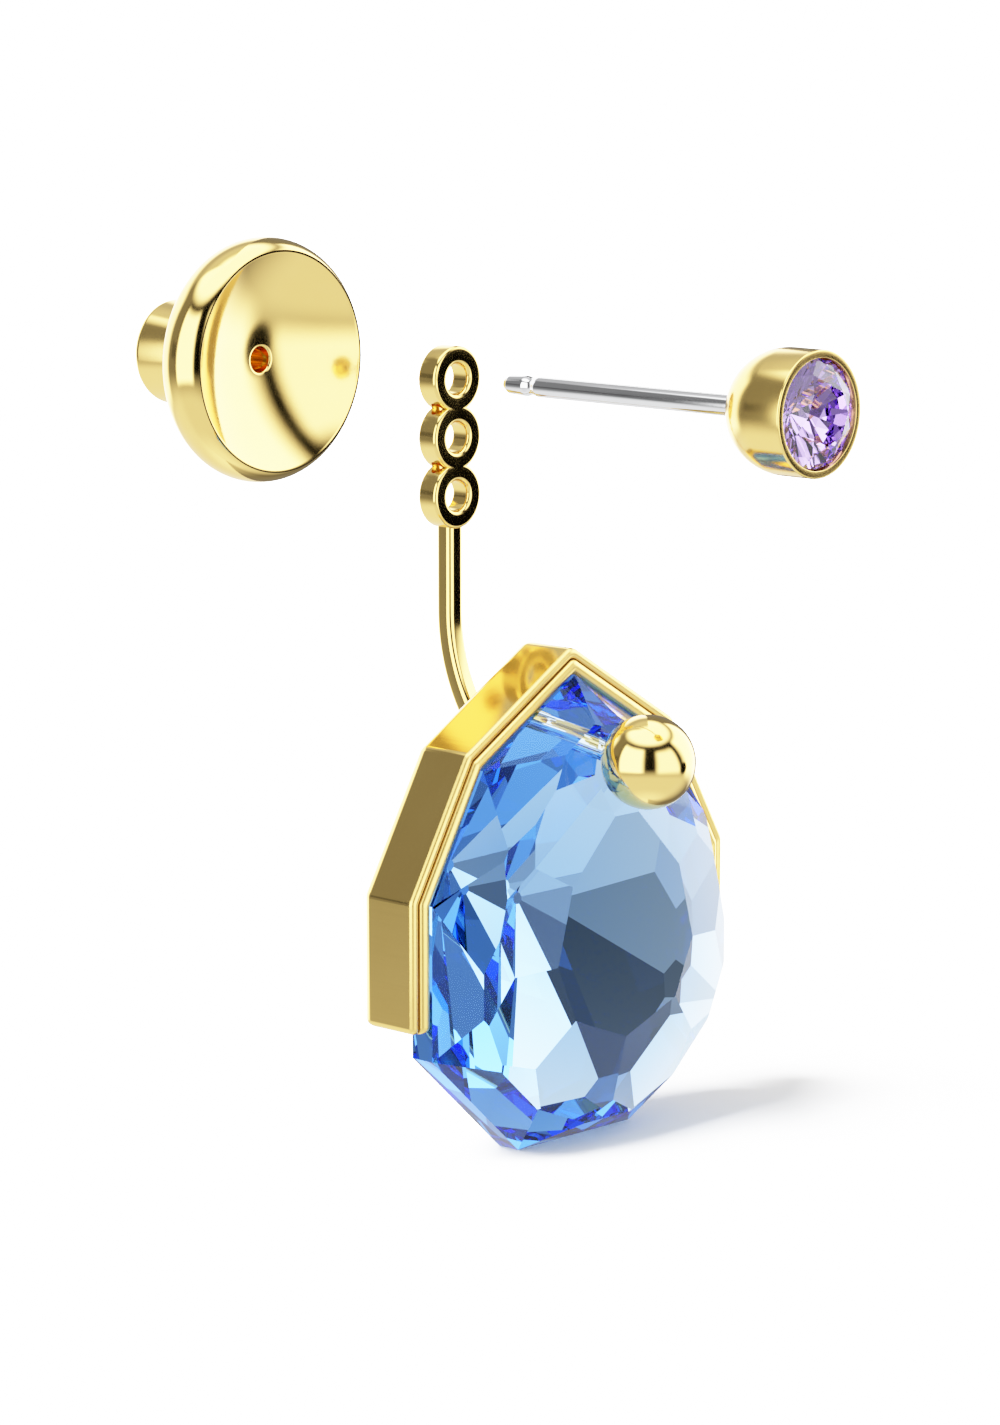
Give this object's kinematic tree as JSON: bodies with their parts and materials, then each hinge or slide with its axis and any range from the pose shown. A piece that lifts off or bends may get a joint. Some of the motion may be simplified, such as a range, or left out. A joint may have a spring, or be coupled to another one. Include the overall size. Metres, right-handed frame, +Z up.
{
  "type": "ear jacket earring",
  "caption": "Ear jacket earring shown apart: dished clutch, ring bar with curved stem, faceted blue crystal in a gold band with a ball in front, and a violet cup-set stud on a steel post.",
  "frame": {"origin": "middle of the top ring's bore, in the ring's front face, which rests on the back of the ear lobe", "axes": "+Z up, -Y to the front along the post, +X to the right seen from the front"},
  "size_m": [0.0178, 0.0354, 0.0344],
  "materials": {
    "gold": "polished, gold plated",
    "steel": "polished",
    "blue_glass": "clear, faceted",
    "violet_glass": "clear, faceted"
  },
  "bodies": {
    "jacket": {"hanger": "gold", "bezel_band": "gold", "blue_crystal": "blue_glass", "ball": "gold"},
    "stud": {"stud_cup": "gold", "stud_crystal": "violet_glass", "post": "steel"},
    "clutch": {"clutch": "gold"}
  },
  "joints": [
    {"name": "stud_slide", "type": "slide", "parent": "jacket", "child": "stud", "axis": [0, 1, 0], "range_m": [0, 0.014]},
    {"name": "clutch_slide", "type": "slide", "parent": "jacket", "child": "clutch", "axis": [0, -1, 0], "range_m": [0, 0.0085]}
  ]
}
